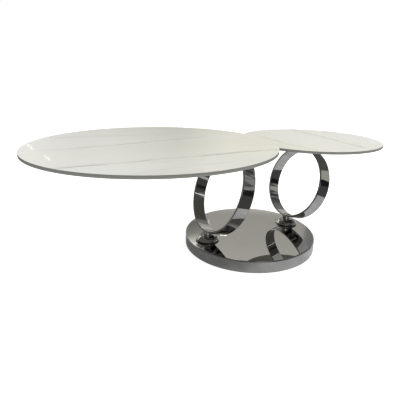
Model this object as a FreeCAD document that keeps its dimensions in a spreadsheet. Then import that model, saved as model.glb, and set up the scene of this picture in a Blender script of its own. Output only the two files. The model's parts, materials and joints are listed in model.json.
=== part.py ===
import FreeCAD, Part
import os
import Sketcher

# Swivel coffee table: two round tops, each carried off-centre by a leaning flat-bar ring.
# Each ring stands on a domed foot that turns on a vertical pivot in one heavy round base.
# Frame: millimetres, origin under the middle of the base, +X from the large to the small pivot, +Z up.

Vector = FreeCAD.Vector
Y_AXIS = Vector(0, 1, 0)
SIDES = ("large", "small")
RIGHT_ANGLE = 90
FULL_TURN = 360
HALF_STEP = 0.5

# Driving dimensions, in millimetres and degrees.
SIZES = (
    ("base_diameter", 514, "outside of the base drum"),
    ("base_height", 45, "floor to the top of the base"),
    ("cover_sheet", 2, "steel sheet of the base cover"),
    ("cover_edge_radius", 3, "rounding of the cover's top edge, outside"),
    ("floor_gap", 1, "cover's lower edge above the floor"),
    ("pad_thickness", 3, "rubber sheet under the base"),
    ("pad_margin", 12, "ballast showing round the rubber sheet"),
    ("ballast_thickness", 16, "steel ballast plate"),
    ("ballast_gap", 0.5, "ballast edge to the cover's skirt"),
    ("spacer_inset", 67, "spacers in from the base's edge"),
    ("spacer_diameter", 16, "spacer rod"),
    ("cover_screw_diameter", 6, "shank of the cover screws"),
    ("cover_screw_head", 10, "head diameter of the cover screws"),
    ("cover_screw_head_height", 6, "head height of the cover screws"),
    ("cover_screw_bite", 12, "cover screw in its spacer"),
    ("pivot_inset", 67.5, "pivots in from the base's edge"),
    ("housing_outer", 44, "outside of the bearing tube"),
    ("housing_bore", 30, "bore of the bearing tube"),
    ("housing_flange_width", 16, "flange on the ballast plate, beyond the tube"),
    ("housing_flange_thickness", 8, "flange on the ballast plate"),
    ("housing_screw_diameter", 6, "shank of the flange screws"),
    ("housing_screw_head", 9.5, "head diameter of the flange screws"),
    ("housing_screw_head_height", 5, "head height of the flange screws"),
    ("housing_screw_bite", 10, "flange screw in the ballast"),
    ("shaft_diameter", 26, "pivot shaft in its bushes"),
    ("bush_length", 12, "each plain bush"),
    ("thread_diameter", 20, "threaded lower end of the shaft"),
    ("spigot_diameter", 22, "upper end of the shaft in the foot"),
    ("spigot_length", 18, "upper end of the shaft in the foot"),
    ("nut_recess_diameter", 50, "recess for the nut under the ballast"),
    ("nut_recess_depth", 10, "recess for the nut under the ballast"),
    ("friction_washer_thickness", 1.5, "plastic washer under the bearing tube"),
    ("friction_washer_diameter", 42, "plastic washer under the bearing tube"),
    ("steel_washer_thickness", 1.5, "steel washer on the shaft's shoulder"),
    ("steel_washer_diameter", 40, "steel washer on the shaft's shoulder"),
    ("spring_sheet", 1, "sheet of the disc spring"),
    ("spring_rise", 0.5, "cone height of the disc spring"),
    ("spring_diameter", 34, "outside of the disc spring"),
    ("nut_height", 5, "lock nut"),
    ("nut_corner_diameter", 34, "lock nut across its corners"),
    ("slide_washer_thickness", 1.2, "plastic washer that the foot turns on"),
    ("slide_washer_margin", 2.5, "foot overhanging that washer"),
    ("foot_diameter", 92, "domed foot at its rim"),
    ("foot_rim_height", 3, "straight rim of the foot"),
    ("foot_dome_height", 17, "foot at the root of its neck"),
    ("foot_dome_bulge", 5, "arch of the dome over its chord"),
    ("neck_diameter", 34, "necks below and above each ring"),
    ("ring_gap", 32, "base to ring, and ring to top, on the neck's axis"),
    ("band_width", 52, "flat bar of the rings"),
    ("band_thickness", 8, "flat bar of the rings"),
    ("band_arris", 0.8, "eased edges of the flat bar"),
    ("large_ring_diameter", 330, "large ring, outside"),
    ("small_ring_diameter", 300, "small ring, outside"),
    ("large_lean", 20, "large ring's lean from upright, degrees"),
    ("small_lean", 17, "small ring's lean from upright, degrees"),
    ("large_top_diameter", 800, "large top"),
    ("small_top_diameter", 560, "small top"),
    ("large_top_setback", 310, "large top's centre behind its neck"),
    ("small_top_setback", 0, "small top's centre behind its neck"),
    ("neck_clearance", 40, "least gap from the small top's edge to the large unit's upper neck"),
    ("ceramic_thickness", 3.5, "ceramic sheet of the tops"),
    ("glass_thickness", 6, "glass sheet of the tops"),
    ("panel_arris", 0.6, "eased edges of the two sheets"),
    ("bond_thickness", 0.5, "adhesive under the glass"),
    ("large_disc_diameter", 150, "large top's bonded steel disc"),
    ("small_disc_diameter", 130, "small top's bonded steel disc"),
    ("disc_thickness", 5, "bonded steel discs"),
    ("flange_diameter", 110, "flange on the upper necks"),
    ("flange_thickness", 4, "flange on the upper necks"),
    ("flange_screw_diameter", 6, "shank of the flange-to-disc screws"),
    ("flange_screw_head", 11, "countersunk head of those screws"),
    ("flange_screw_head_height", 3, "countersunk head of those screws"),
    ("flange_screw_bite", 4, "those screws in the disc"),
    ("running_gap", 0.05, "shaft in its bushes, radial"),
    ("fit_gap", 0.05, "fixed round fits, radial"),
    ("loose_gap", 0.5, "clearance holes and free spaces, radial"),
)
SPACER_COUNT = 6
HOUSING_SCREW_COUNT = 4
FLANGE_SCREW_COUNT = 4

# Worked-out dimensions: formulas in the same words, one sheet row each.
WORKED = [
    ("zero", "=0 * base_height"),
    ("base_radius", "=base_diameter / 2"),
    ("cover_inner_radius", "=base_radius - cover_sheet"),
    ("cover_corner_radius", "=base_radius - cover_edge_radius"),
    ("cover_height", "=base_height - floor_gap"),
    ("cover_shoulder", "=cover_height - cover_edge_radius"),
    ("cover_inner_height", "=cover_height - cover_sheet"),
    ("cover_under", "=base_height - cover_sheet"),
    ("ballast_radius", "=cover_inner_radius - ballast_gap"),
    ("pad_radius", "=ballast_radius - pad_margin"),
    ("ballast_top", "=pad_thickness + ballast_thickness"),
    ("spacer_radius", "=spacer_diameter / 2"),
    ("spacer_circle", "=base_diameter - 2 * spacer_inset"),
    ("spacer_height", "=cover_under - ballast_top"),
    ("cover_screw_radius", "=cover_screw_diameter / 2"),
    ("cover_screw_head_radius", "=cover_screw_head / 2"),
    ("cover_screw_seat", "=pad_thickness + cover_screw_head_height"),
    ("cover_screw_length", "=cover_screw_head_height + ballast_top - cover_screw_seat + cover_screw_bite"),
    ("cover_bore_radius", "=cover_screw_radius + fit_gap"),
    ("cover_bore_depth", "=cover_screw_bite + loose_gap"),
    ("recess_top", "=pad_thickness + nut_recess_depth"),
    ("housing_radius", "=housing_outer / 2"),
    ("housing_bore_radius", "=housing_bore / 2"),
    ("housing_flange_radius", "=housing_radius + housing_flange_width"),
    ("housing_screw_circle", "=housing_outer + housing_flange_width"),
    ("housing_height", "=base_height - recess_top"),
    ("housing_flange_low", "=ballast_top - recess_top"),
    ("housing_flange_high", "=housing_flange_low + housing_flange_thickness"),
    ("housing_screw_radius", "=housing_screw_diameter / 2"),
    ("housing_screw_head_radius", "=housing_screw_head / 2"),
    ("housing_screw_shank", "=housing_flange_thickness + housing_screw_bite"),
    ("housing_screw_length", "=housing_screw_shank + housing_screw_head_height"),
    ("bush_outer_radius", "=housing_bore_radius - fit_gap"),
    ("bush_inner_radius", "=shaft_radius + running_gap"),
    ("shaft_radius", "=shaft_diameter / 2"),
    ("thread_radius", "=thread_diameter / 2"),
    ("spigot_radius", "=spigot_diameter / 2"),
    ("friction_washer_low", "=recess_top - friction_washer_thickness"),
    ("steel_washer_low", "=friction_washer_low - steel_washer_thickness"),
    ("spring_height", "=spring_sheet + spring_rise"),
    ("spring_low", "=steel_washer_low - spring_height"),
    ("nut_low", "=spring_low - nut_height"),
    ("thread_length", "=friction_washer_low - nut_low"),
    ("foot_low", "=base_height + slide_washer_thickness"),
    ("shaft_shoulder", "=foot_low - nut_low"),
    ("shaft_length", "=shaft_shoulder + spigot_length"),
    ("thread_hole_radius", "=thread_radius + fit_gap"),
    ("loose_shaft_radius", "=shaft_radius + loose_gap"),
    ("friction_washer_radius", "=friction_washer_diameter / 2"),
    ("steel_washer_radius", "=steel_washer_diameter / 2"),
    ("spring_radius", "=spring_diameter / 2"),
    ("foot_radius", "=foot_diameter / 2"),
    ("slide_washer_radius", "=foot_radius - slide_washer_margin"),
    ("neck_radius", "=neck_diameter / 2"),
    ("foot_bore_radius", "=spigot_radius + fit_gap"),
    ("foot_bore_depth", "=spigot_length + fit_gap"),
    ("foot_blank_height", "=ring_gap + neck_diameter"),
    ("dome_chord_squared", "=(foot_radius - neck_radius)^2 + (foot_dome_height - foot_rim_height)^2"),
    ("dome_radius", "=(dome_chord_squared / 4 + foot_dome_bulge^2) / (2 * foot_dome_bulge)"),
    ("band_inset", "=band_width - band_arris"),
    ("ring_low", "=base_height + ring_gap"),
    ("cutter_length", "=2 * foot_diameter"),
    ("top_thickness", "=ceramic_thickness + glass_thickness"),
    ("glass_inset", "=glass_thickness - panel_arris"),
    ("ceramic_inset", "=ceramic_thickness - panel_arris"),
    ("flange_radius", "=flange_diameter / 2"),
    ("flange_screw_circle", "=(flange_diameter + neck_diameter) / 2"),
    ("flange_screw_radius", "=flange_screw_diameter / 2"),
    ("flange_screw_head_radius", "=flange_screw_head / 2"),
    ("flange_screw_length", "=flange_thickness + flange_screw_bite"),
    ("flange_hole_radius", "=flange_screw_radius + fit_gap"),
    ("flange_sink_radius", "=flange_screw_head_radius + fit_gap"),
    ("large_pivot_x", "=pivot_inset - base_radius"),
    ("small_pivot_x", "=base_radius - pivot_inset"),
]
for side in SIDES:
    WORKED += [
        (f"{side}_ring_radius", f"={side}_ring_diameter / 2"),
        (f"{side}_ring_bore", f"={side}_ring_radius - band_thickness"),
        (f"{side}_ring_outer_arris", f"={side}_ring_radius - band_arris"),
        (f"{side}_ring_inner_arris", f"={side}_ring_bore + band_arris"),
        (f"{side}_ring_sine", f"=sin({side}_lean * 1 deg)"),
        (f"{side}_ring_cosine", f"=cos({side}_lean * 1 deg)"),
        (f"{side}_ring_x", f"={side}_pivot_x + {side}_ring_radius * {side}_ring_sine"),
        (f"{side}_ring_z", f"=ring_low + {side}_ring_radius * {side}_ring_cosine"),
        (f"{side}_band_x", f"={side}_ring_x - band_width / 2 * {side}_ring_cosine"),
        (f"{side}_band_z", f"={side}_ring_z + band_width / 2 * {side}_ring_sine"),
        (f"{side}_cutter_x", f"={side}_ring_x - cutter_length / 2 * {side}_ring_cosine"),
        (f"{side}_cutter_z", f"={side}_ring_z + cutter_length / 2 * {side}_ring_sine"),
        (f"{side}_neck_x", f"={side}_pivot_x + {side}_ring_diameter * {side}_ring_sine"),
        (f"{side}_ring_high", f"=ring_low + {side}_ring_diameter * {side}_ring_cosine"),
        (f"{side}_top_under", f"={side}_ring_high + ring_gap"),
        (f"{side}_bond_low", f"={side}_top_under - bond_thickness"),
        (f"{side}_disc_low", f"={side}_bond_low - disc_thickness"),
        (f"{side}_flange_low", f"={side}_disc_low - flange_thickness"),
        (f"{side}_neck_low", f"={side}_ring_high - neck_diameter"),
        (f"{side}_neck_height", f"={side}_flange_low - {side}_neck_low"),
        (f"{side}_disc_radius", f"={side}_disc_diameter / 2"),
        (f"{side}_top_wanted_x", f"={side}_neck_x - {side}_top_setback"),
        (f"{side}_top_radius", f"={side}_top_diameter / 2"),
        (f"{side}_top_arris_radius", f"={side}_top_radius - panel_arris"),
        (f"{side}_ceramic_low", f"={side}_top_under + glass_thickness"),
        (f"{side}_top_face", f"={side}_top_under + top_thickness"),
    ]
WORKED += [
    ("small_top_least_x", "=large_neck_x + neck_radius + neck_clearance + small_top_radius"),
    ("large_top_x", "=large_top_wanted_x"),
    ("small_top_x", "=max(small_top_wanted_x; small_top_least_x)"),
]

doc = FreeCAD.newDocument("swivel_coffee_table")
sheet = doc.addObject("Spreadsheet::Sheet", "sizes")
nodes = []


def fill_sheet():
    """Write the driving sizes and the worked-out sizes, one alias per row."""
    rows = [(name, str(value), note) for name, value, note in SIZES]
    rows += [(name, formula, "") for name, formula in WORKED]
    for number, (name, content, note) in enumerate(rows, start=1):
        sheet.set(f"A{number}", name)
        sheet.set(f"C{number}", note)
        sheet.setAlias(f"B{number}", name)
    for number, (name, content, note) in enumerate(rows, start=1):
        sheet.set(f"B{number}", content)
    doc.recompute()


def size(name):
    """The present value of one sheet cell."""
    return float(sheet.get(name))


def bind(feature, prop, expression):
    feature.setExpression(prop, expression)


def place(feature, x="zero", z="zero", tilt=None):
    """Put a piece at sheet places x and z, its axis turned about +Y by a sheet angle beyond level."""
    if tilt:
        feature.Placement = FreeCAD.Placement(Vector(), FreeCAD.Rotation(Y_AXIS, RIGHT_ANGLE))
        bind(feature, "Placement.Rotation.Angle", f"{RIGHT_ANGLE} + sizes.{tilt}")
    bind(feature, "Placement.Base.x", f"sizes.{x}")
    bind(feature, "Placement.Base.z", f"sizes.{z}")
    return feature


def keep(feature, label):
    """Name a finished piece and list it for export."""
    feature.Label = label
    nodes.append(feature)
    return feature


def pin_point(sketch, geometry, end, radius, height):
    """Tie one outline corner to its sheet values, or to an axis where the value is zero."""
    if radius == "zero":
        sketch.addConstraint(Sketcher.Constraint("PointOnObject", geometry, end, -2))
    else:
        row = sketch.addConstraint(Sketcher.Constraint("DistanceX", -1, 1, geometry, end, size(radius)))
        bind(sketch, f"Constraints[{row}]", f"sizes.{radius}")
    if height == "zero":
        sketch.addConstraint(Sketcher.Constraint("PointOnObject", geometry, end, -1))
    else:
        row = sketch.addConstraint(Sketcher.Constraint("DistanceY", -1, 1, geometry, end, size(height)))
        bind(sketch, f"Constraints[{row}]", f"sizes.{height}")


def outward_arc(start, end, radius):
    """An arc from start to end that bulges away from the axis and upward."""
    chord = end - start
    middle = (start + end) * 0.5
    inward = Vector(-chord.y, chord.x, 0).normalize()
    centre = middle + inward * (radius**2 - (chord.Length / 2) ** 2) ** 0.5
    crown = centre - inward * radius
    return Part.Arc(start, crown, end)


def turned(name, outline):
    """A body turned about its own Z axis from (radius, height[, arc radius to the next]) sheet names."""
    body = doc.addObject("PartDesign::Body", name)
    sketch = body.newObject("Sketcher::SketchObject", f"{name}_outline")
    plane = next(f for f in body.Origin.OriginFeatures if f.Role == "XZ_Plane")
    sketch.AttachmentSupport = [(plane, "")]
    sketch.MapMode = "FlatFace"
    points = [Vector(size(corner[0]), size(corner[1]), 0) for corner in outline]
    count = len(outline)
    arcs = {}
    for index, corner in enumerate(outline):
        start, end = points[index], points[(index + 1) % count]
        if len(corner) > 2:
            arcs[index] = corner[2]
            sketch.addGeometry(outward_arc(start, end, size(corner[2])))
        else:
            sketch.addGeometry(Part.LineSegment(start, end))
    for index in range(count):
        following = (index + 1) % count
        sketch.addConstraint(Sketcher.Constraint("Coincident", index, 2, following, 1))
    for index, corner in enumerate(outline):
        pin_point(sketch, index, 1, corner[0], corner[1])
    for index, radius in arcs.items():
        row = sketch.addConstraint(Sketcher.Constraint("Radius", index, size(radius)))
        bind(sketch, f"Constraints[{row}]", f"sizes.{radius}")
    turn = body.newObject("PartDesign::Revolution", f"{name}_turn")
    turn.Profile = sketch
    turn.ReferenceAxis = (sketch, ["V_Axis"])
    turn.Angle = FULL_TURN
    sketch.Visibility = False
    return body


def ring_outline(inner, outer, height):
    """Outline of a plain washer, bush or disc with a hole."""
    return [(inner, "zero"), (outer, "zero"), (outer, height), (inner, height)]


def disc_outline(radius, height):
    """Outline of a plain disc."""
    return ring_outline("zero", radius, height)


def rod(name, radius, height):
    """A bound cylinder, used as a plain piece or as a cutter."""
    cylinder = doc.addObject("Part::Cylinder", name)
    bind(cylinder, "Radius", f"sizes.{radius}")
    bind(cylinder, "Height", f"sizes.{height}")
    return cylinder


def cut(name, base, tools):
    """The base less every tool."""
    if len(tools) > 1:
        tool = doc.addObject("Part::MultiFuse", f"{name}_tools")
        tool.Shapes = tools
    else:
        tool = tools[0]
    result = doc.addObject("Part::Cut", name)
    result.Base = base
    result.Tool = tool
    return result


def on_circle(feature, number, count, circle, x="zero", z="zero"):
    """Put a piece on a circle about the sheet place x, as number of count, half a step off the X axis."""
    angle = FULL_TURN * (number + HALF_STEP) / count
    bind(feature, "Placement.Base.x", f"sizes.{x} + sizes.{circle} / 2 * cos({angle} deg)")
    bind(feature, "Placement.Base.y", f"sizes.{circle} / 2 * sin({angle} deg)")
    bind(feature, "Placement.Base.z", f"sizes.{z}")
    return feature


def group(label, pieces):
    """Equal fasteners as one node of separate solids."""
    compound = doc.addObject("Part::Compound", label)
    compound.Links = pieces
    return keep(compound, label)


def base_cover():
    """Polished drum of sheet steel, open below, with a hole for each bearing tube."""
    shell = turned("cover_shell", [
        ("cover_inner_radius", "zero"),
        ("base_radius", "zero"),
        ("base_radius", "cover_shoulder", "cover_edge_radius"),
        ("cover_corner_radius", "cover_height"),
        ("zero", "cover_height"),
        ("zero", "cover_inner_height"),
        ("cover_inner_radius", "cover_inner_height"),
    ])
    place(shell, z="floor_gap")
    holes = []
    for side in SIDES:
        hole = rod(f"{side}_cover_hole", "housing_radius", "base_height")
        bind(hole, "Radius", "sizes.housing_radius + sizes.fit_gap")
        holes.append(place(hole, x=f"{side}_pivot_x"))
    keep(cut("cover_cut", shell, holes), "base_cover")


def base_ballast():
    """Heavy plate with seats for the bearing tubes, nut recesses and screw holes."""
    plate = turned("ballast_plate", disc_outline("ballast_radius", "ballast_thickness"))
    place(plate, z="pad_thickness")
    tools = []
    for side in SIDES:
        seat = rod(f"{side}_ballast_seat", "housing_radius", "base_height")
        bind(seat, "Radius", "sizes.housing_radius + sizes.fit_gap")
        tools.append(place(seat, x=f"{side}_pivot_x"))
        recess = rod(f"{side}_ballast_recess", "nut_recess_depth", "recess_top")
        bind(recess, "Radius", "sizes.nut_recess_diameter / 2")
        tools.append(place(recess, x=f"{side}_pivot_x"))
        for number in range(HOUSING_SCREW_COUNT):
            hole = rod(f"{side}_ballast_tap_{number}", "housing_screw_radius", "housing_screw_bite")
            bind(hole, "Radius", "sizes.housing_screw_radius + sizes.fit_gap")
            on_circle(hole, number, HOUSING_SCREW_COUNT, "housing_screw_circle", f"{side}_pivot_x")
            bind(hole, "Placement.Base.z", "sizes.ballast_top - sizes.housing_screw_bite")
            tools.append(hole)
    for number in range(SPACER_COUNT):
        hole = rod(f"ballast_hole_{number}", "cover_screw_radius", "base_height")
        bind(hole, "Radius", "sizes.cover_screw_radius + sizes.loose_gap")
        tools.append(on_circle(hole, number, SPACER_COUNT, "spacer_circle"))
        head = rod(f"ballast_head_{number}", "cover_screw_head_radius", "cover_screw_seat")
        bind(head, "Radius", "sizes.cover_screw_head_radius + sizes.loose_gap")
        tools.append(on_circle(head, number, SPACER_COUNT, "spacer_circle"))
    keep(cut("ballast_cut", plate, tools), "base_ballast_plate")


def floor_pad():
    """Rubber sheet that the table stands on; it closes the recesses from below."""
    keep(place(turned("pad_disc", disc_outline("pad_radius", "pad_thickness"))), "floor_pad")


def cover_fixings():
    """Spacer rods under the cover, each held by a screw from below the ballast."""
    spacers, screws = [], []
    for number in range(SPACER_COUNT):
        spacer = turned(f"spacer_{number}", [
            ("cover_bore_radius", "zero"),
            ("spacer_radius", "zero"),
            ("spacer_radius", "spacer_height"),
            ("zero", "spacer_height"),
            ("zero", "cover_bore_depth"),
            ("cover_bore_radius", "cover_bore_depth"),
        ])
        spacers.append(on_circle(spacer, number, SPACER_COUNT, "spacer_circle", z="ballast_top"))
        screw = turned(f"cover_screw_{number}", [
            ("zero", "zero"),
            ("cover_screw_head_radius", "zero"),
            ("cover_screw_head_radius", "cover_screw_head_height"),
            ("cover_screw_radius", "cover_screw_head_height"),
            ("cover_screw_radius", "cover_screw_length"),
            ("zero", "cover_screw_length"),
        ])
        screws.append(on_circle(screw, number, SPACER_COUNT, "spacer_circle", z="pad_thickness"))
    group("cover_spacers", spacers)
    group("cover_screws", screws)


def bearing(side):
    """What stays still at one pivot: flanged tube, its screws, two bushes and two plastic washers."""
    pivot = f"{side}_pivot_x"
    tube = turned(f"{side}_housing_blank", [
        ("housing_bore_radius", "zero"),
        ("housing_radius", "zero"),
        ("housing_radius", "housing_flange_low"),
        ("housing_flange_radius", "housing_flange_low"),
        ("housing_flange_radius", "housing_flange_high"),
        ("housing_radius", "housing_flange_high"),
        ("housing_radius", "housing_height"),
        ("housing_bore_radius", "housing_height"),
    ])
    place(tube, pivot, "recess_top")
    holes, screws = [], []
    for number in range(HOUSING_SCREW_COUNT):
        hole = rod(f"{side}_housing_hole_{number}", "housing_screw_radius", "base_height")
        bind(hole, "Radius", "sizes.housing_screw_radius + sizes.fit_gap")
        holes.append(on_circle(hole, number, HOUSING_SCREW_COUNT, "housing_screw_circle", pivot))
        screw = turned(f"{side}_housing_screw_{number}", [
            ("zero", "zero"),
            ("housing_screw_radius", "zero"),
            ("housing_screw_radius", "housing_screw_shank"),
            ("housing_screw_head_radius", "housing_screw_shank"),
            ("housing_screw_head_radius", "housing_screw_length"),
            ("zero", "housing_screw_length"),
        ])
        on_circle(screw, number, HOUSING_SCREW_COUNT, "housing_screw_circle", pivot)
        bind(screw, "Placement.Base.z", "sizes.ballast_top - sizes.housing_screw_bite")
        screws.append(screw)
    keep(cut(f"{side}_housing_cut", tube, holes), f"{side}_bearing_tube")
    group(f"{side}_bearing_screws", screws)
    bush = ring_outline("bush_inner_radius", "bush_outer_radius", "bush_length")
    upper = place(turned(f"{side}_upper_bush_body", bush), pivot)
    bind(upper, "Placement.Base.z", "sizes.base_height - sizes.bush_length")
    keep(upper, f"{side}_upper_bush")
    keep(place(turned(f"{side}_lower_bush_body", bush), pivot, "recess_top"), f"{side}_lower_bush")
    slide = turned(f"{side}_slide_body", ring_outline("loose_shaft_radius", "slide_washer_radius",
                                                      "slide_washer_thickness"))
    keep(place(slide, pivot, "base_height"), f"{side}_slide_washer")
    friction = turned(f"{side}_friction_body", ring_outline("loose_shaft_radius", "friction_washer_radius",
                                                            "friction_washer_thickness"))
    keep(place(friction, pivot, "friction_washer_low"), f"{side}_friction_washer")


def pivot(side):
    """What turns in the bearing: shaft, steel washer, disc spring and lock nut."""
    x = f"{side}_pivot_x"
    shaft = turned(f"{side}_shaft_body", [
        ("zero", "zero"),
        ("thread_radius", "zero"),
        ("thread_radius", "thread_length"),
        ("shaft_radius", "thread_length"),
        ("shaft_radius", "shaft_shoulder"),
        ("spigot_radius", "shaft_shoulder"),
        ("spigot_radius", "shaft_length"),
        ("zero", "shaft_length"),
    ])
    keep(place(shaft, x, "nut_low"), f"{side}_pivot_shaft")
    washer = turned(f"{side}_washer_body", ring_outline("thread_hole_radius", "steel_washer_radius",
                                                        "steel_washer_thickness"))
    keep(place(washer, x, "steel_washer_low"), f"{side}_steel_washer")
    spring = turned(f"{side}_spring_body", [
        ("thread_hole_radius", "zero"),
        ("spring_radius", "spring_rise"),
        ("spring_radius", "spring_height"),
        ("thread_hole_radius", "spring_sheet"),
    ])
    keep(place(spring, x, "spring_low"), f"{side}_disc_spring")
    hexagon = doc.addObject("Part::Prism", f"{side}_nut_hexagon")
    hexagon.Polygon = 6
    bind(hexagon, "Circumradius", "sizes.nut_corner_diameter / 2")
    bind(hexagon, "Height", "sizes.nut_height")
    place(hexagon, x, "nut_low")
    thread = place(rod(f"{side}_nut_hole", "thread_hole_radius", "base_height"), x)
    keep(cut(f"{side}_nut_cut", hexagon, [thread]), f"{side}_lock_nut")


def ring_cutter(side, name):
    """The solid that the ring's outer face bounds, for the saddles of the necks."""
    cutter = rod(name, f"{side}_ring_radius", "cutter_length")
    return place(cutter, f"{side}_cutter_x", f"{side}_cutter_z", f"{side}_lean")


def column(side):
    """Domed foot, leaning ring and upper neck, welded together."""
    blank = turned(f"{side}_foot_blank", [
        ("foot_bore_radius", "zero"),
        ("foot_radius", "zero"),
        ("foot_radius", "foot_rim_height", "dome_radius"),
        ("neck_radius", "foot_dome_height"),
        ("neck_radius", "foot_blank_height"),
        ("zero", "foot_blank_height"),
        ("zero", "foot_bore_depth"),
        ("foot_bore_radius", "foot_bore_depth"),
    ])
    place(blank, f"{side}_pivot_x", "foot_low")
    keep(cut(f"{side}_foot_cut", blank, [ring_cutter(side, f"{side}_foot_cutter")]), f"{side}_foot")
    bore, outer = f"{side}_ring_bore", f"{side}_ring_radius"
    bore_arris, outer_arris = f"{side}_ring_inner_arris", f"{side}_ring_outer_arris"
    band = turned(f"{side}_ring_body", [
        (bore_arris, "zero"),
        (outer_arris, "zero"),
        (outer, "band_arris"),
        (outer, "band_inset"),
        (outer_arris, "band_width"),
        (bore_arris, "band_width"),
        (bore, "band_inset"),
        (bore, "band_arris"),
    ])
    keep(place(band, f"{side}_band_x", f"{side}_band_z", f"{side}_lean"), f"{side}_ring")
    neck = rod(f"{side}_neck_blank", "neck_radius", f"{side}_neck_height")
    place(neck, f"{side}_neck_x", f"{side}_neck_low")
    keep(cut(f"{side}_neck_cut", neck, [ring_cutter(side, f"{side}_neck_cutter")]), f"{side}_top_neck")


def top_fixing(side):
    """Flange on the upper neck, screwed to a steel disc that is bonded under the glass."""
    x = f"{side}_neck_x"
    flange = place(turned(f"{side}_flange_blank", disc_outline("flange_radius", "flange_thickness")),
                   x, f"{side}_flange_low")
    disc = place(turned(f"{side}_disc_blank", disc_outline(f"{side}_disc_radius", "disc_thickness")),
                 x, f"{side}_disc_low")
    flange_tools, disc_tools, screws = [], [], []
    for number in range(FLANGE_SCREW_COUNT):
        spot = (number, FLANGE_SCREW_COUNT, "flange_screw_circle", x)
        hole = rod(f"{side}_flange_hole_{number}", "flange_hole_radius", "flange_thickness")
        flange_tools.append(on_circle(hole, *spot, z=f"{side}_flange_low"))
        sink = doc.addObject("Part::Cone", f"{side}_flange_sink_{number}")
        bind(sink, "Radius1", "sizes.flange_sink_radius")
        bind(sink, "Radius2", "sizes.flange_hole_radius")
        bind(sink, "Height", "sizes.flange_screw_head_height")
        flange_tools.append(on_circle(sink, *spot, z=f"{side}_flange_low"))
        tap = rod(f"{side}_disc_tap_{number}", "flange_hole_radius", "flange_screw_bite")
        disc_tools.append(on_circle(tap, *spot, z=f"{side}_disc_low"))
        screw = turned(f"{side}_flange_screw_{number}", [
            ("zero", "zero"),
            ("flange_screw_head_radius", "zero"),
            ("flange_screw_radius", "flange_screw_head_height"),
            ("flange_screw_radius", "flange_screw_length"),
            ("zero", "flange_screw_length"),
        ])
        screws.append(on_circle(screw, *spot, z=f"{side}_flange_low"))
    keep(cut(f"{side}_flange_cut", flange, flange_tools), f"{side}_top_flange")
    group(f"{side}_flange_screws", screws)
    keep(cut(f"{side}_disc_cut", disc, disc_tools), f"{side}_bonded_disc")
    film = turned(f"{side}_film_body", disc_outline(f"{side}_disc_radius", "bond_thickness"))
    keep(place(film, x, f"{side}_bond_low"), f"{side}_adhesive_film")


def top_panels(side):
    """Ceramic sheet on a glass sheet of the same diameter."""
    x, radius, arris = f"{side}_top_x", f"{side}_top_radius", f"{side}_top_arris_radius"
    glass = turned(f"{side}_glass_body", [
        ("zero", "zero"), (arris, "zero"), (radius, "panel_arris"), (radius, "glass_thickness"),
        ("zero", "glass_thickness")])
    keep(place(glass, x, f"{side}_top_under"), f"{side}_glass_panel")
    ceramic = turned(f"{side}_ceramic_body", [
        ("zero", "zero"), (radius, "zero"), (radius, "ceramic_inset"), (arris, "ceramic_thickness"),
        ("zero", "ceramic_thickness")])
    keep(place(ceramic, x, f"{side}_ceramic_low"), f"{side}_ceramic_panel")


def check_and_write():
    """Stop on any failed feature, then write one file per node."""
    doc.recompute()
    for feature in doc.Objects:
        if "Invalid" in feature.State or "Error" in feature.State:
            raise RuntimeError(f"{feature.Name} failed: {feature.State}")
    os.makedirs("parts", exist_ok=True)
    for node in nodes:
        if node.Shape.isNull() or not node.Shape.isValid() or not node.Shape.Solids:
            raise RuntimeError(f"{node.Label} has no valid solid")
        node.Shape.exportStep(f"parts/{node.Label}.step")
        print(node.Label, len(node.Shape.Solids), round(node.Shape.Volume))


fill_sheet()
base_cover()
base_ballast()
floor_pad()
cover_fixings()
for side in SIDES:
    bearing(side)
    pivot(side)
    column(side)
    top_fixing(side)
    top_panels(side)
check_and_write()
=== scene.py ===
import json
import math

import bpy
from mathutils import Matrix, Vector


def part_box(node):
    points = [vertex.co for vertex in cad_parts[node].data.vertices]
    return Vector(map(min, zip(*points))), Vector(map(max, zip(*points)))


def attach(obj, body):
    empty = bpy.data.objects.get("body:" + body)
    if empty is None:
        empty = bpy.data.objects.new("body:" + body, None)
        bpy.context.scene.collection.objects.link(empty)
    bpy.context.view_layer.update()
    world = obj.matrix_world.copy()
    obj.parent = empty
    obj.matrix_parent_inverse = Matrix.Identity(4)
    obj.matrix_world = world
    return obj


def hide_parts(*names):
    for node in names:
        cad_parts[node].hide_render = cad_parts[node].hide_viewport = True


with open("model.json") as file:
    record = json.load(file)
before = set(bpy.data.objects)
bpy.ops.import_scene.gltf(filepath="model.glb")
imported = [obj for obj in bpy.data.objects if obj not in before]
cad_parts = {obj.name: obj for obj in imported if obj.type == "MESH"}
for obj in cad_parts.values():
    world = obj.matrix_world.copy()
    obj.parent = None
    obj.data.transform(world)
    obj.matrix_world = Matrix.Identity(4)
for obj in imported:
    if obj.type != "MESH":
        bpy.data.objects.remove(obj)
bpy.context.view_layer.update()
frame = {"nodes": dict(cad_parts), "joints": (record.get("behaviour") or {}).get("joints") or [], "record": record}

# The two table units, and sizes in metres that the frame's boxes don't give.
SIDES = ("large", "small")
LEAN = {"large": math.radians(20), "small": math.radians(17)}
BAND_WIDTH = 0.052
BAND_THICKNESS = 0.008
BAND_EDGE = 0.0024
COVER_SHEET = 0.002
COVER_EDGE = COVER_SHEET / 4
CROWN_RADIUS = 10.0
ROLL_WIDTH = 0.005
ROLL_DROP = 0.003
FOOT_RIM_HEIGHT = 0.004
FOOT_UNDERCUT = 0.005
FOOT_DOME_HEIGHT = 0.017
FOOT_BULGE = 0.005
FOOT_EDGE = 0.0007
PANEL_EDGE = 0.0006
DISC_EDGE = 0.0005

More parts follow.
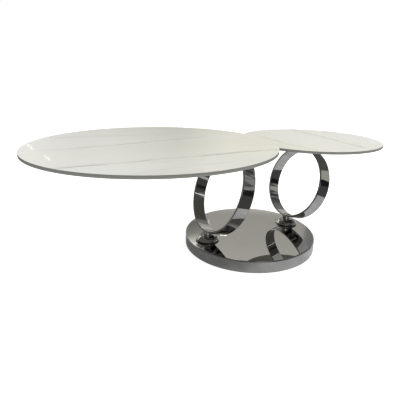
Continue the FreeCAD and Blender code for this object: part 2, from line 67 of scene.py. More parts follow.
# How finely pieces are drawn: steps round them, stations along their curves, segments of their eased edges.
FINE_STEPS = 256
COARSE_STEPS = 128
CROWN_STATIONS = 12
ROLL_STATIONS = 16
DOME_STATIONS = 14
UNDERCUT_SHARES = (0.4, 0.7, 0.9)
BAND_SEGMENTS = 5
COVER_SEGMENTS = 2
PLAIN_SEGMENTS = 3
SAME_POINT = 1e-6
EASED_ANGLE = math.radians(35)
SMOOTH_ANGLE = math.radians(40)
FLAT_FACE_WEIGHT = 100
# A plate's faces whose normal rises less than this belong to its rim.
RIM_RISE = 0.8

# Noise: octaves, and the value about which it swings.
SOFT_DETAIL = 3.0
FINE_DETAIL = 4.0
NOISE_MIDDLE = 0.5

# Polishing haze on the steel: size in mm, and the noise values that give the least and most roughness.
STEEL_TONES = ("#cccbc8", "#c5c4c1")
HAZE_MM = 60
HAZE_SPREAD = (0.35, 0.7)
HAZE_ROUGHNESS = (0.008, 0.02)
# Noise values at which an even finish is darkest and lightest.
GRAIN_SPREAD = (0.3, 0.7)

# Marble: how far a vein's bed reaches and its ends fade in metres, and its strength across the bed.
VEIN_BED = 0.03
VEIN_FADE = 0.07
VEIN_PROFILE = ((0.45, 0), (0.49, 1), (0.52, 0.85), (0.56, 0.3), (0.75, 0.12))
# A slow wander and a fine shiver: size in mm and swing in metres.
VEIN_SWINGS = ((220, 0.05), (35, 0.009))
BREAK_MM = 90
BREAK_SPREAD = (0.36, 0.6)
BREAK_LEVELS = (0.2, 1.0)
DRAWN_OUT = (0.18, 1, 1)
HAIR_MM = 150
HAIR_DEPTH = 0.012
HAIR_VEIN = 0.08
CLOUD_MM = 240
MARBLE_WHITE = "#e9e9e7"
MARBLE_CREAM = "#deddcb"
MARBLE_VEIN = "#8b897f"
# Each top's turn of its veins, slope of its cream towards +X, and veins from its centre in metres: offset,
# slope, strength, start and end.
MARBLE = {
    "large": (0.0, 0.35, (
        (0.025, 0.11, 0.75, -0.36, 0.24),
        (-0.237, 0.0, 0.85, -0.36, 0.36),
        (0.165, -0.2, 0.55, -0.32, -0.02),
        (0.30, 0.05, 0.3, -0.1, 0.26),
        (-0.34, 0.06, 0.25, -0.18, 0.2),
    )),
    "small": (math.pi / 2, -0.45, (
        (0.163, 0.03, 0.8, -0.2, 0.16),
        (-0.082, -0.11, 0.9, -0.28, 0.3),
        (-0.21, 0.04, 0.4, -0.16, 0.2),
    )),
}

# The photograph's camera, solved from the outlines of tops, base and rings.
PHOTO_PIXELS = 400
FOCAL_PIXELS = 350.2
AXIS_PIXEL_X = 213.5
AXIS_PIXEL_Y = 180.0
SENSOR_MM = 36.0
CAMERA_PLACE = (-0.7523, -1.0913, 0.6344)
CAMERA_TURN = -0.4909
CAMERA_PITCH = 0.2809
CAMERA_ROLL = 0.0223

# Floors, in metres: the one that is seen, and a near and a far one that only the steel mirrors.
SURROUND_LIGHT = 0.72
FLOOR_SIZE = 40
NEAR_FLOOR_SIZE = (1.43, 1.18)
NEAR_FLOOR_PLACE = (-0.185, 0.11, -0.001)
NEAR_FLOOR_SPAN = (-0.1, 0.2)
NEAR_FLOOR_GLOW = (0.2, 0.58)
PATCH_MM = 90
PATCH_SPREAD = (0.3, 0.7)
PATCH_LEVELS = (0.8, 1.1)
FAR_FLOOR_SIZE = 12
FAR_FLOOR_PLACE = (0, 0, -0.002)
FAR_FLOOR_GLOW = 0.07

# Cards that the steel mirrors: distance in metres, then azimuth, lowest and highest direction from eye height
# and half width in degrees, colour and glow.
EYE_HEIGHT = 0.2
CARDS = (
    ("left_wall_card", 4.0, -78, -12, 60, 36, "#fffdf5", 0.08),
    ("right_dark_card", 4.0, 118, -14, 8, 28, "#ffffff", 0.015),
    ("back_wall_lamp_card", 3.8, 28.0, 23.65, 24.3, 0.85, "#fffdf5", 2.2),
    ("right_window_card", 3.4, 114, 5, 21.5, 10, "#fffdf5", 0.46),
    ("right_upper_dark_card", 3.4, 104.5, 24, 38, 3.5, "#ffffff", 0.06),
    ("front_right_lamp_card", 3.4, 141, 17, 18.2, 5, "#ffffff", 1.6),
    ("front_left_dark_card", 4.0, -145, -14, 60, 38, "#ffffff", 0.07),
    ("front_window_card", 3.4, -160, 14, 24, 18, "#ffffff", 0.7),
)
# Walls with light and shade along their width, X, or up their height, Y: as above up to the colour, then the
# axis and pairs of direction in degrees and glow.
SHADED_CARDS = (
    ("back_low_wall_card", 4.0, 10, -12, 19.5, 55, "#fffdf5", "X",
     ((-45, 0.28), (-24, 0.5), (-11, 0.85), (-6.5, 0.66), (-2, 0.57), (4, 0.54), (18, 0.28), (29, 0.58),
      (45, 0.6), (65, 0.5))),
    ("back_wall_card", 3.9, 36, 15.5, 60, 11.5, "#fffdf5", "Y",
     ((15.5, 0.52), (17, 0.46), (28, 0.53), (33, 0.6), (38, 1.2), (47, 1.2), (60, 0.6))),
    ("back_left_wall_card", 4.0, -11.25, 19.5, 60, 35.75, "#fffdf5", "Y",
     ((19.5, 0.2), (23.4, 0.214), (26.6, 0.32), (27.4, 0.37), (29, 0.7), (31.4, 1.14), (40, 1.0), (43, 0.4),
      (60, 0.3))),
    ("front_right_dark_card", 4.0, 164, -14, 60, 24, "#ffffff", "Y",
     ((-14, 0.015), (3, 0.02), (7, 0.06), (13, 0.09), (17, 0.06), (60, 0.03))),
    ("back_right_wall_card", 4.0, 71, 15.5, 60, 25, "#fffdf9", "X",
     ((46, 0.46), (47.6, 0.45), (48.4, 0.28), (49.5, 0.24), (62, 0.24), (73, 0.2), (84, 0.11), (96, 0.06))),
)
# A blind at the right, a card as above: its slats run slantwise, with this period in metres along its edges.
BLIND = ("right_blind_card", 4.0, 118, 8, 60, 28, "#ffffff", 0.17)
BLIND_PERIOD = 0.6
# Texture scale of a slanting wave with a period of one metre.
SLANT_WAVE_UNIT = math.pi / 5
SLAT_WAVER = 8.0
SLAT_DETAIL = 2.0
SLAT_LEVELS = (0.5, 1.9)
# Slim lamps on the back wall, two streaks near the large top's far end: x, z, length, height and glow.
STREAK_DEPTH = 3.9
STREAK_TILT = math.radians(40)
STREAKS = ((-0.75, 1.107, 0.1, 0.005, 3.5), (-0.565, 1.27, 0.09, 0.007, 3.0))
# A small ceiling lamp, mirrored as a bright speck.
LAMP_PLACE = (-1.5, -0.9, 2.6)
LAMP_SIZE = 0.2
LAMP_GLOW = 60.0
# The softbox that lights the scene together with the surround.
SOFTBOX_PLACE = (1.2, -0.9, 2.6)
SOFTBOX_SIZE = 2.4
SOFTBOX_WATTS = 45
# The ceiling: where its pale panel ends and the dim rest begins, and the glow of both.
CEILING_SIZE = 8
CEILING_HEIGHT = 4.6
CEILING_PANEL = (1.2, 2.2)
CEILING_GLOW = (0.5, 0.15)

FACING_DOWN = Matrix.Rotation(math.pi, 4, "X")
UPRIGHT = Matrix.Rotation(math.pi / 2, 4, "X")


def box_centre(node):
    low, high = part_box(node)
    return (low + high) / 2


def box_size(node):
    low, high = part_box(node)
    return high - low


def pivot_place(side):
    joint = next(j for j in frame["joints"] if j["name"] == f"{side}_swivel")
    return Vector(joint["pos_m"])


# Modelling steps shared by the pieces.

def start_loop(name, radius, steps):
    """One open loop of edges in the XY plane, with only itself selected."""
    bpy.ops.object.select_all(action="DESELECT")
    bpy.ops.mesh.primitive_circle_add(vertices=steps, radius=radius, fill_type="NOTHING")
    piece = bpy.context.object
    piece.name = piece.data.name = name
    return piece


def raise_wall(stations, cap_top=False, cap_bottom=False):
    """Extrude the active loop through (radius, height) stations, the first being where it is."""
    bpy.ops.object.mode_set(mode="EDIT")
    bpy.ops.mesh.select_all(action="SELECT")
    if cap_bottom:
        bpy.ops.mesh.duplicate()
        bpy.ops.mesh.edge_face_add()
        bpy.ops.mesh.select_all(action="DESELECT")
        bpy.ops.mesh.select_mode(type="EDGE")
        bpy.ops.mesh.select_non_manifold(extend=False, use_wire=True, use_boundary=False)
    for (radius, height), (next_radius, next_height) in zip(stations, stations[1:]):
        bpy.ops.mesh.extrude_region_move(TRANSFORM_OT_translate={"value": (0, 0, next_height - height)})
        ratio = next_radius / radius
        bpy.ops.transform.resize(value=(ratio, ratio, 1), center_override=(0, 0, next_height))
    if cap_top:
        bpy.ops.mesh.edge_face_add()
    bpy.ops.mesh.select_all(action="SELECT")
    bpy.ops.mesh.remove_doubles(threshold=SAME_POINT)
    bpy.ops.mesh.normals_make_consistent(inside=False)
    bpy.ops.object.mode_set(mode="OBJECT")


def add_modifier(kind, **settings):
    """Add a modifier to the active piece and apply it."""
    bpy.ops.object.modifier_add(type=kind)
    modifier = bpy.context.object.modifiers[-1]
    for key, value in settings.items():
        setattr(modifier, key, value)
    bpy.ops.object.modifier_apply(modifier=modifier.name)


def ease_edges(width, segments):
    """Round the sharp edges of the active piece."""
    add_modifier("BEVEL", width=width, segments=segments, limit_method="ANGLE", angle_limit=EASED_ANGLE)


def set_place(matrix):
    """Put the active piece in the CAD frame, with its place in its mesh."""
    bpy.context.object.matrix_world = matrix
    bpy.ops.object.transform_apply(location=True, rotation=True, scale=True)


def smooth():
    """Smooth shading that keeps broad faces flat up to their eased edges."""
    bpy.ops.object.shade_smooth_by_angle(angle=SMOOTH_ANGLE)
    add_modifier("WEIGHTED_NORMAL", mode="FACE_AREA", weight=FLAT_FACE_WEIGHT, keep_sharp=True)


def trim(point, normal):
    """Cut the active piece at a plane, drop what lies beyond it and close the cut."""
    bpy.ops.object.mode_set(mode="EDIT")
    bpy.ops.mesh.select_all(action="SELECT")
    bpy.ops.mesh.bisect(plane_co=point, plane_no=normal, clear_outer=True, use_fill=True)
    bpy.ops.object.mode_set(mode="OBJECT")


def dress(piece, body, node, slot, *materials):
    """Give a finished piece its materials, its body and the CAD node that it stands for."""
    piece.data.materials.clear()
    for material in materials:
        piece.data.materials.append(material)
    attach(piece, body)
    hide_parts(node)


# Pieces.

def crown_height(radius, flat_height):
    """Height of the cover's gently crowned top, level with the flat one on the circle of the pivots."""
    pivot = pivot_place("large").x
    return flat_height + (pivot**2 - radius**2) / (2 * CROWN_RADIUS)


def cover_stations(radius, flat_height):
    """Radius and height from the drum's wall over its small rolled rim to the crown's middle."""
    stations = []
    for step in range(ROLL_STATIONS + 1):
        angle = math.pi / 2 * (1 - step / ROLL_STATIONS)
        place = radius - ROLL_WIDTH * (1 - math.sin(angle))
        stations.append((place, crown_height(place, flat_height) - ROLL_DROP * (1 - math.cos(angle))))
    inner = radius - ROLL_WIDTH
    for step in range(1, CROWN_STATIONS):
        place = inner * (1 - step / CROWN_STATIONS)
        stations.append((place, crown_height(place, flat_height)))
    return stations


def base_drum(steel):
    """Polished drum: a deep-drawn lid of sheet steel, open below."""
    low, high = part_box("base_cover")
    radius = (high.x - low.x) / 2
    flat_height = high.z - low.z
    piece = start_loop("base_drum", radius, FINE_STEPS)
    raise_wall([(radius, 0)] + cover_stations(radius, flat_height), cap_top=True)
    add_modifier("SOLIDIFY", thickness=COVER_SHEET, offset=-1)
    ease_edges(COVER_EDGE, COVER_SEGMENTS)
    set_place(Matrix.Translation((0, 0, low.z)))
    smooth()
    dress(piece, "base", "base_cover", "polished_steel", steel)


def ring_placement(side):
    """From a loop in the XY plane to the leaning ring's own place."""
    lean = Matrix.Rotation(math.pi / 2 + LEAN[side], 4, "Y")
    return Matrix.Translation(box_centre(f"{side}_ring")) @ lean


def leaning_ring(side, steel):
    """Flat bar rolled into a ring, welded, ground and polished, with eased edges."""
    radius = box_size(f"{side}_ring").y / 2
    piece = start_loop(f"{side}_flat_bar_ring", radius, FINE_STEPS)
    raise_wall([(radius, 0), (radius, BAND_WIDTH)])
    add_modifier("SOLIDIFY", thickness=BAND_THICKNESS, offset=-1)
    ease_edges(BAND_EDGE, BAND_SEGMENTS)
    set_place(ring_placement(side) @ Matrix.Translation((0, 0, -BAND_WIDTH / 2)))
    smooth()
    dress(piece, f"{side}_table", f"{side}_ring", "polished_steel", steel)


def undercut_stations(rim_radius):
    """Radius and height along the foot's rounded undercut, from its sole out towards its rim."""
    stations = []
    for share in UNDERCUT_SHARES:
        height = FOOT_RIM_HEIGHT * (1 - math.sqrt(1 - share**2))
        stations.append((rim_radius - FOOT_UNDERCUT * (1 - share), height))
    return stations


def dome_stations(rim_radius, neck_radius):
    """Radius and height along the foot's dome, an arc that bulges over its chord."""
    start = Vector((rim_radius, FOOT_RIM_HEIGHT))
    end = Vector((neck_radius, FOOT_DOME_HEIGHT))
    chord = end - start
    radius = (chord.length_squared / 4 + FOOT_BULGE**2) / (2 * FOOT_BULGE)
    inward = Vector((-chord.y, chord.x)).normalized()
    centre = (start + end) / 2 + inward * (radius - FOOT_BULGE)
    first = math.atan2(start.y - centre.y, start.x - centre.x)
    last = math.atan2(end.y - centre.y, end.x - centre.x)
    angles = [first + (last - first) * step / DOME_STATIONS for step in range(DOME_STATIONS + 1)]
    return [(centre.x + radius * math.cos(a), centre.y + radius * math.sin(a)) for a in angles]


def ring_plane(side, towards_top):
    """A point inside the ring's bar where the neck enters it, and the bar's outward normal there."""
    lean = LEAN[side]
    outward = Vector((math.sin(lean), 0, math.cos(lean))) * (1 if towards_top else -1)
    radius = box_size(f"{side}_ring").y / 2
    return box_centre(f"{side}_ring") + outward * (radius - BAND_THICKNESS / 2), outward


def domed_foot(side, steel):
    """Turned foot with a low dome and a neck that runs up into the ring's bar, where it is trimmed."""
    low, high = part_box(f"{side}_foot")
    rim = (high.x - low.x) / 2
    neck = box_size(f"{side}_top_neck").y / 2
    sole = rim - FOOT_UNDERCUT
    untrimmed_top = FOOT_DOME_HEIGHT + 2 * neck
    profile = [(sole, 0)] + undercut_stations(rim) + dome_stations(rim, neck) + [(neck, untrimmed_top)]
    piece = start_loop(f"{side}_domed_foot", sole, COARSE_STEPS)
    raise_wall(profile, cap_top=True, cap_bottom=True)
    ease_edges(FOOT_EDGE, PLAIN_SEGMENTS)
    set_place(Matrix.Translation((pivot_place(side).x, 0, low.z)))
    point, outward = ring_plane(side, towards_top=False)
    trim(point, -outward)
    smooth()
    dress(piece, f"{side}_table", f"{side}_foot", "polished_steel", steel)


def upper_neck(side, steel):
    """Round neck from the ring's bar, where it is trimmed, up to the flange."""
    low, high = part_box(f"{side}_top_neck")
    radius = (high.y - low.y) / 2
    centre = (low + high) / 2
    untrimmed_length = 3 * radius
    piece = start_loop(f"{side}_upper_neck", radius, COARSE_STEPS)
    raise_wall([(radius, 0), (radius, untrimmed_length)], cap_top=True, cap_bottom=True)
    set_place(Matrix.Translation((centre.x, 0, high.z - untrimmed_length)))
    point, outward = ring_plane(side, towards_top=True)
    trim(point, -outward)
    smooth()
    dress(piece, f"{side}_table", f"{side}_top_neck", "polished_steel", steel)


def round_plate(name, node, steps, edge, body, slot, *materials):
    """A flat round plate with eased edges; its rim takes the last material."""
    low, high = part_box(node)
    radius = (high.y - low.y) / 2
    piece = start_loop(name, radius, steps)
    raise_wall([(radius, 0), (radius, high.z - low.z)], cap_top=True, cap_bottom=True)
    ease_edges(edge, PLAIN_SEGMENTS)
    set_place(Matrix.Translation(((low.x + high.x) / 2, (low.y + high.y) / 2, low.z)))
    smooth()
    dress(piece, body, node, slot, *materials)
    for face in piece.data.polygons:
        face.material_index = len(materials) - 1 if abs(face.normal.z) < RIM_RISE else 0


# Node helpers.

def colour(text):
    """An sRGB hex colour as linear red, green, blue and alpha."""
    parts = [int(text[i:i + 2], 16) / 255 for i in (1, 3, 5)]
    return [p / 12.92 if p <= 0.04045 else ((p + 0.055) / 1.055) ** 2.4 for p in parts] + [1.0]


def add_node(tree, kind, inputs=None, **settings):
    """Add a node with its settings; an input is a socket to link or a value to set."""
    node = tree.nodes.new(kind)
    for key, value in settings.items():
        setattr(node, key, value)
    for key, value in (inputs or {}).items():
        if isinstance(value, bpy.types.NodeSocket):
            tree.links.new(value, node.inputs[key])
        else:
            node.inputs[key].default_value = value
    return node


def object_place(tree):
    """The place on the piece, in its own metres."""
    return add_node(tree, "ShaderNodeTexCoord").outputs["Object"]


def split_axes(tree, place):
    return add_node(tree, "ShaderNodeSeparateXYZ", {"Vector": place}).outputs


def per_metre(millimetres):
    """Texture scale for a feature of this size."""
    return 1000 / millimetres


def noise(tree, place, size_mm, detail):
    inputs = {"Vector": place, "Scale": per_metre(size_mm), "Detail": detail}
    return add_node(tree, "ShaderNodeTexNoise", inputs).outputs["Fac"]


def calculate(tree, operation, *values, **settings):
    """The result of a math node on sockets and constants."""
    inputs = dict(enumerate(values))
    return add_node(tree, "ShaderNodeMath", inputs, operation=operation, **settings).outputs[0]


def remap(tree, value, given, wanted=(0.0, 1.0), **settings):
    """A value carried from the given range to the wanted one and held inside it."""
    inputs = {
        "Value": value, "From Min": given[0], "From Max": given[1], "To Min": wanted[0], "To Max": wanted[1],
    }
    return add_node(tree, "ShaderNodeMapRange", inputs, **settings).outputs["Result"]


def blend(tree, factor, first, second):
    """A colour between two; a mix node's colours are its inputs 6 and 7 and its output 2."""
    return add_node(tree, "ShaderNodeMix", {0: factor, 6: first, 7: second}, data_type="RGBA").outputs[2]


def new_material(name, **sockets):
    """A material whose shader has these constant sockets; returns it with its tree and shader."""
    material = bpy.data.materials.new(name)
    material.use_nodes = True
    tree = material.node_tree
    shader = tree.nodes["Principled BSDF"]
    for key, value in sockets.items():
        shader.inputs[key.replace("_", " ")].default_value = value
    return material, tree, shader


# Materials.

def mirror_steel():
    """Stainless steel, ground and mirror polished: sharp reflections with a trace of polishing haze."""
    material, tree, shader = new_material("mirror_polished_stainless_steel", Metallic=1.0)
    haze = noise(tree, object_place(tree), HAZE_MM, SOFT_DETAIL)
    bright, dull = STEEL_TONES
    tree.links.new(blend(tree, haze, colour(bright), colour(dull)), shader.inputs["Base Color"])
    tree.links.new(remap(tree, haze, HAZE_SPREAD, HAZE_ROUGHNESS), shader.inputs["Roughness"])
    return material


def plain_material(name, hex_colour, roughness, grain_mm, contrast, **sockets):
    """An even finish with mottling of this size, as far from its colour as the contrast says."""
    material, tree, shader = new_material(name, **sockets)
    grain = noise(tree, object_place(tree), grain_mm, FINE_DETAIL)
    ramp = add_node(tree, "ShaderNodeValToRGB", {"Fac": grain})
    middle = colour(hex_colour)[:3]
    for stop, position, level in zip(ramp.color_ramp.elements, GRAIN_SPREAD, (1 - contrast, 1 + contrast)):
        stop.position = position
        stop.color = [min(1, part * level) for part in middle] + [1]
    tree.links.new(ramp.outputs["Color"], shader.inputs["Base Color"])
    shader.inputs["Roughness"].default_value = roughness
    return material


def vein(tree, along, across, offset, slope, strength, start, end):
    """One vein along a sloping line: a thin dark core, a soft bed on one side, fading at both ends."""
    line = calculate(tree, "MULTIPLY_ADD", along, slope, offset)
    gap = calculate(tree, "SUBTRACT", across, line)
    shape = add_node(tree, "ShaderNodeValToRGB", {"Fac": remap(tree, gap, (-VEIN_BED, VEIN_BED))})
    ramp = shape.color_ramp
    ramp.elements[0].color = ramp.elements[1].color = (0, 0, 0, 1)
    for place, level in VEIN_PROFILE:
        stop = ramp.elements.new(place)
        stop.color = (level, level, level, 1)
    faded = shape.outputs["Color"]
    for tip, full in ((start, start + VEIN_FADE), (end, end - VEIN_FADE)):
        fade = remap(tree, along, (tip, full), interpolation_type="SMOOTHSTEP")
        faded = calculate(tree, "MULTIPLY", faded, fade)
    return calculate(tree, "MULTIPLY", faded, strength)


def broken_veins(tree, local, veins):
    """The main veins, which wander by a slow noise, shiver by a fine one and break here and there."""
    axes = split_axes(tree, local)
    across = axes["Y"]
    for size_mm, swing in VEIN_SWINGS:
        sway = calculate(tree, "SUBTRACT", noise(tree, local, size_mm, SOFT_DETAIL), NOISE_MIDDLE)
        across = calculate(tree, "MULTIPLY_ADD", sway, swing, across)
    lines = [vein(tree, axes["X"], across, *numbers) for numbers in veins]
    strength = lines[0]
    for line in lines[1:]:
        strength = calculate(tree, "MAXIMUM", strength, line)
    broken = remap(tree, noise(tree, local, BREAK_MM, SOFT_DETAIL), BREAK_SPREAD, BREAK_LEVELS)
    return calculate(tree, "MULTIPLY", strength, broken)


def hair_veins(tree, drawn):
    """Hair veins: the middle contour of a noise drawn out along the veins."""
    level = calculate(tree, "SUBTRACT", noise(tree, drawn, HAIR_MM, FINE_DETAIL), NOISE_MIDDLE)
    depth = calculate(tree, "ABSOLUTE", level)
    return remap(tree, depth, (0.0, HAIR_DEPTH), (HAIR_VEIN, 0.0))


def marble_porcelain(side):
    """Polished porcelain sheet printed as white marble: cream clouds and thin broken grey-beige veins."""
    turn, cream_slope, veins = MARBLE[side]
    material, tree, shader = new_material(f"polished_marble_porcelain_{side}", Roughness=0.04, IOR=1.5)
    centre = box_centre(f"{side}_ceramic_panel")
    reach = box_size(f"{side}_ceramic_panel").y / 2
    place = object_place(tree)
    turned = {"Vector": place, "Location": centre, "Rotation": (0, 0, turn)}
    local = add_node(tree, "ShaderNodeMapping", turned, vector_type="TEXTURE").outputs["Vector"]
    drawn = add_node(tree, "ShaderNodeMapping", {"Vector": local, "Scale": DRAWN_OUT}).outputs["Vector"]
    strength = calculate(tree, "MAXIMUM", broken_veins(tree, local, veins), hair_veins(tree, drawn))

    # Cream clouds, thicker towards one side of the sheet.
    clouds = noise(tree, drawn, CLOUD_MM, SOFT_DETAIL)
    sheet = (centre.x - reach, centre.x + reach)
    lean = remap(tree, split_axes(tree, place)["X"], sheet, (-cream_slope, cream_slope))
    cream = calculate(tree, "ADD", clouds, lean, use_clamp=True)
    ground = blend(tree, cream, colour(MARBLE_WHITE), colour(MARBLE_CREAM))
    tree.links.new(blend(tree, strength, ground, colour(MARBLE_VEIN)), shader.inputs["Base Color"])
    return material


# Stage.

def stage_plane(name, width, height, matrix, material):
    """A flat stage panel of this width and height, facing its own +Z."""
    bpy.ops.object.select_all(action="DESELECT")
    bpy.ops.mesh.primitive_plane_add(size=1)
    panel = bpy.context.object
    panel.name = panel.data.name = name
    panel.scale = (width, height, 1)
    bpy.ops.object.transform_apply(scale=True)
    panel.matrix_world = matrix
    panel.data.materials.append(material)
    return panel


def glow(name, hex_colour, strength):
    """A stage surface that glows evenly, until link_glow gives it light and shade."""
    material, _, shader = new_material(name, Roughness=1.0)
    shader.inputs["Base Color"].default_value = (0, 0, 0, 1)
    shader.inputs["Specular IOR Level"].default_value = 0
    shader.inputs["Emission Color"].default_value = colour(hex_colour)
    shader.inputs["Emission Strength"].default_value = strength
    return material


def link_glow(tree, strength):
    """Let a socket say how strongly a stage surface glows from place to place."""
    tree.links.new(strength, tree.nodes["Principled BSDF"].inputs["Emission Strength"])


def near_floor_glow():
    """The floor by the base as the steel sees it: shaded under the large top, brighter towards the right."""
    material = glow("near_floor_card", "#f7f9fb", 1.0)
    tree = material.node_tree
    place = object_place(tree)
    along = split_axes(tree, place)["X"]
    level = remap(tree, along, NEAR_FLOOR_SPAN, NEAR_FLOOR_GLOW, interpolation_type="SMOOTHSTEP")
    patchy = remap(tree, noise(tree, place, PATCH_MM, SOFT_DETAIL), PATCH_SPREAD, PATCH_LEVELS)
    link_glow(tree, calculate(tree, "MULTIPLY", level, patchy))
    return material


def shaded_glow(card, hex_colour, axis, levels):
    """A wall's light and shade, from its directions in degrees."""
    name, _, azimuth, low, high, half_width = card
    material = glow(name, hex_colour, 1.0)
    tree = material.node_tree
    place = add_node(tree, "ShaderNodeTexCoord").outputs["Generated"]
    shade = add_node(tree, "ShaderNodeValToRGB", {"Fac": split_axes(tree, place)[axis]})
    first, last = (-half_width, half_width) if axis == "X" else (low, high)
    start = math.tan(math.radians(first))
    end = math.tan(math.radians(last))
    stops = shade.color_ramp.elements
    for number, (direction, strength) in enumerate(levels):
        angle = direction - azimuth if axis == "X" else direction
        share = min(1.0, max(0.0, (math.tan(math.radians(angle)) - start) / (end - start)))
        stop = stops[0] if number == 0 else stops[-1] if number == len(levels) - 1 else stops.new(share)
        stop.position = share
        stop.color = (strength, strength, strength, 1)
    link_glow(tree, shade.outputs["Color"])
    return material


def blind_glow(name, hex_colour, strength):
    """A blind whose wavy slats draw fine lines on the steel."""
    material = glow(name, hex_colour, strength)
    tree = material.node_tree
    wave = {
        "Vector": object_place(tree), "Scale": SLANT_WAVE_UNIT / BLIND_PERIOD,
        "Distortion": SLAT_WAVER, "Detail": SLAT_DETAIL, "Detail Scale": 1.0,
    }
    slats = add_node(tree, "ShaderNodeTexWave", wave, bands_direction="DIAGONAL").outputs["Fac"]
    link_glow(tree, remap(tree, slats, (0.0, 1.0), [level * strength for level in SLAT_LEVELS]))
    return material


def ceiling_glow():
    """A dim ceiling with a pale panel over the table, which the base's top mirrors when seen from above."""
    material = glow("ceiling_card", "#ffffff", 1.0)
    tree = material.node_tree
    place = object_place(tree)
    away = add_node(tree, "ShaderNodeVectorMath", {0: place}, operation="LENGTH").outputs["Value"]
    link_glow(tree, remap(tree, away, CEILING_PANEL, CEILING_GLOW, interpolation_type="SMOOTHSTEP"))
    return material


def only_reflected(panel):
    """Leave a panel to mirror reflections alone, so that it neither shows nor lights the scene."""
    panel.visible_camera = panel.visible_diffuse = panel.visible_shadow = False


def reflection_card(name, distance, azimuth, low, high, half_width, material):
    """A card round the table, given by the directions that it fills; azimuth runs from +Y towards +X."""
    turn = math.radians(azimuth)
    bottom, top = (EYE_HEIGHT + distance * math.tan(math.radians(angle)) for angle in (low, high))
    width = 2 * distance * math.tan(math.radians(half_width))
    place = Vector((distance * math.sin(turn), distance * math.cos(turn), (bottom + top) / 2))
    facing = Matrix.Rotation(-turn, 4, "Z") @ UPRIGHT
    only_reflected(stage_plane(name, width, top - bottom, Matrix.Translation(place) @ facing, material))


def surround():
    """White ground behind the table for the eye, and a softer light from all sides."""
    world = bpy.data.worlds.new("studio_surround")
    bpy.context.scene.world = world
    world.use_nodes = True
    tree = world.node_tree
    seen = add_node(tree, "ShaderNodeLightPath").outputs["Is Camera Ray"]
    background = tree.nodes["Background"]
    background.inputs["Color"].default_value = (1, 1, 1, 1)
    level = remap(tree, seen, (0.0, 1.0), (SURROUND_LIGHT, 1.0))
    tree.links.new(level, background.inputs["Strength"])


def floors():
    """The pale floor that is seen and takes shadows, and the two that the steel mirrors instead."""
    paint, _, shader = new_material("pale_floor", Roughness=1.0)
    shader.inputs["Base Color"].default_value = colour("#f4f4f2")
    shader.inputs["Emission Color"].default_value = (1, 1, 1, 1)
    shader.inputs["Emission Strength"].default_value = SURROUND_LIGHT
    floor = stage_plane("studio_floor", FLOOR_SIZE, FLOOR_SIZE, Matrix.Identity(4), paint)
    floor.visible_glossy = floor.visible_diffuse = False

    near_place = Matrix.Translation(NEAR_FLOOR_PLACE)
    only_reflected(stage_plane("near_floor_card", *NEAR_FLOOR_SIZE, near_place, near_floor_glow()))
    far_place = Matrix.Translation(FAR_FLOOR_PLACE)
    far_glow = glow("far_floor_card", "#ffffff", FAR_FLOOR_GLOW)
    only_reflected(stage_plane("far_floor_card", FAR_FLOOR_SIZE, FAR_FLOOR_SIZE, far_place, far_glow))


def walls():
    """The room of cards that the steel mirrors."""
    for *card, hex_colour, strength in CARDS:
        reflection_card(*card, glow(card[0], hex_colour, strength))
    for *card, hex_colour, axis, levels in SHADED_CARDS:
        reflection_card(*card, shaded_glow(card, hex_colour, axis, levels))
    *card, hex_colour, strength = BLIND
    reflection_card(*card, blind_glow(card[0], hex_colour, strength))


def lamps():
    """Slim and small lamps that only show as reflections, and a softbox that gives light but no reflection."""
    for number, (x, z, length, height, strength) in enumerate(STREAKS, start=1):
        name = f"streak_lamp_{number}"
        place = Matrix.Translation((x, STREAK_DEPTH, z)) @ UPRIGHT @ Matrix.Rotation(STREAK_TILT, 4, "Z")
        only_reflected(stage_plane(name, length, height, place, glow(name, "#ffffff", strength)))
    lamp_place = Matrix.Translation(LAMP_PLACE) @ FACING_DOWN
    lamp_glow = glow("ceiling_lamp_1", "#ffffff", LAMP_GLOW)
    only_reflected(stage_plane("ceiling_lamp_1", LAMP_SIZE, LAMP_SIZE, lamp_place, lamp_glow))
    bpy.ops.object.light_add(type="AREA", location=SOFTBOX_PLACE)
    softbox = bpy.context.object
    softbox.name = softbox.data.name = "overhead_softbox"
    softbox.data.size = SOFTBOX_SIZE
    softbox.data.energy = SOFTBOX_WATTS
    softbox.visible_glossy = False


def studio():
    """Pale floor and surround for the eye, with a room of grey cards for the polished steel to mirror."""
    surround()
    floors()
    walls()
    lamps()
    ceiling_place = Matrix.Translation((0, 0, CEILING_HEIGHT)) @ FACING_DOWN
    only_reflected(stage_plane("ceiling_card", CEILING_SIZE, CEILING_SIZE, ceiling_place, ceiling_glow()))


def photo_camera():
    """Camera at the photograph's viewpoint."""
    data = bpy.data.cameras.new("photo_camera")
    data.sensor_width = SENSOR_MM
    data.lens = SENSOR_MM * FOCAL_PIXELS / PHOTO_PIXELS
    data.shift_x = 0.5 - AXIS_PIXEL_X / PHOTO_PIXELS
    data.shift_y = AXIS_PIXEL_Y / PHOTO_PIXELS - 0.5
    camera = bpy.data.objects.new("photo_camera", data)
    bpy.context.scene.collection.objects.link(camera)
    camera.matrix_world = (
        Matrix.Translation(CAMERA_PLACE)
        @ Matrix.Rotation(CAMERA_TURN, 4, "Z")
        @ Matrix.Rotation(math.pi / 2 - CAMERA_PITCH, 4, "X")
        @ Matrix.Rotation(CAMERA_ROLL, 4, "Z")
    )
    bpy.context.scene.camera = camera


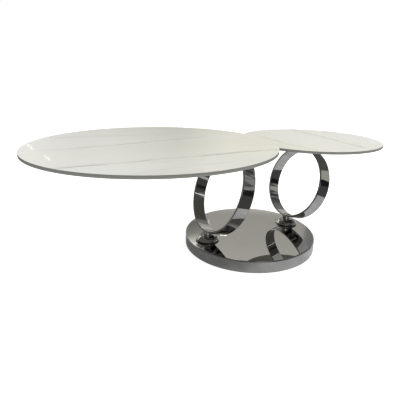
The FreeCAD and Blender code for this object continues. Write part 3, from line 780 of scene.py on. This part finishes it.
def finishes():
    """Every finish but the marble, by record slot, and the glass tops' rim."""
    # Grain under 10 mm is finer on a real piece and is drawn coarser, so that it can show.
    return {
        # Dark and bright mirror images on base, rings and feet.
        "polished_steel": mirror_steel(),
        # Soft grey sheen of lathe work on shafts, washers and screws.
        "plain_steel": plain_material(
            "turned_steel", "#8f8f8d", roughness=0.3, grain_mm=2, contrast=0.12, Metallic=1.0),
        # Near-black, dull and blotchy.
        "ballast_steel": plain_material(
            "blackened_steel_plate", "#2b2b2a", roughness=0.55, grain_mm=12, contrast=0.2, Metallic=0.8),
        # Matt black without highlights.
        "rubber_sheet": plain_material(
            "matt_black_rubber", "#161616", roughness=0.85, grain_mm=1.5, contrast=0.2),
        # Black with a broad highlight: the dark line under each foot.
        "black_plastic": plain_material(
            "black_acetal", "#0e0e0e", roughness=0.35, grain_mm=3, contrast=0.15),
        # Milky off-white with a waxy sheen.
        "bush_plastic": plain_material(
            "natural_acetal", "#dcd8c8", roughness=0.4, grain_mm=4, contrast=0.05),
        # Pale and slightly glossy.
        "clear_adhesive": plain_material(
            "cured_adhesive", "#d8dad6", roughness=0.25, grain_mm=6, contrast=0.05),
        # Smooth warm grey with clear reflections: the underside of each top.
        "tinted_glass": plain_material(
            "grey_lacquered_glass", "#74736d", roughness=0.12, grain_mm=40, contrast=0.03, IOR=1.52),
        # Satin grey upper half of each top's edge: its own grey, darkened further as painted shade from the dark
        # room in front.
        "marble_ceramic": plain_material(
            "porcelain_edge_with_painted_shade", "#8d8d88", roughness=0.4, grain_mm=1.2, contrast=0.08),
        # Satin grey lower half of each top's edge, a little lighter: its own grey, darkened further in the same
        # way as painted shade.
        "glass_rim": plain_material(
            "glass_edge_with_painted_shade", "#94948e", roughness=0.3, grain_mm=1.2, contrast=0.08),
    }


def main():
    finish = finishes()
    steel = finish["polished_steel"]
    turned = finish["plain_steel"]
    glass = finish["tinted_glass"]
    rim = finish["marble_ceramic"]
    glass_rim = finish["glass_rim"]
    for entry in frame["record"]["subparts"]:
        node = frame["nodes"][entry["node"]]
        node.data.materials.clear()
        node.data.materials.append(finish[entry["material_slot"]])
    marble = {side: marble_porcelain(side) for side in SIDES}
    base_drum(steel)
    for side in SIDES:
        body = f"{side}_table"
        leaning_ring(side, steel)
        domed_foot(side, steel)
        upper_neck(side, steel)
        round_plate(f"{side}_flange_plate", f"{side}_top_flange", COARSE_STEPS, DISC_EDGE,
                    body, "polished_steel", steel)
        round_plate(f"{side}_fixing_disc", f"{side}_bonded_disc", COARSE_STEPS, DISC_EDGE,
                    body, "plain_steel", turned)
        round_plate(f"{side}_glass_top", f"{side}_glass_panel", FINE_STEPS, PANEL_EDGE,
                    body, "tinted_glass", glass, glass_rim)
        round_plate(f"{side}_marble_top", f"{side}_ceramic_panel", FINE_STEPS, PANEL_EDGE,
                    body, "marble_ceramic", marble[side], rim)
    studio()
    photo_camera()
    bpy.context.scene.view_settings.view_transform = "Standard"


main()
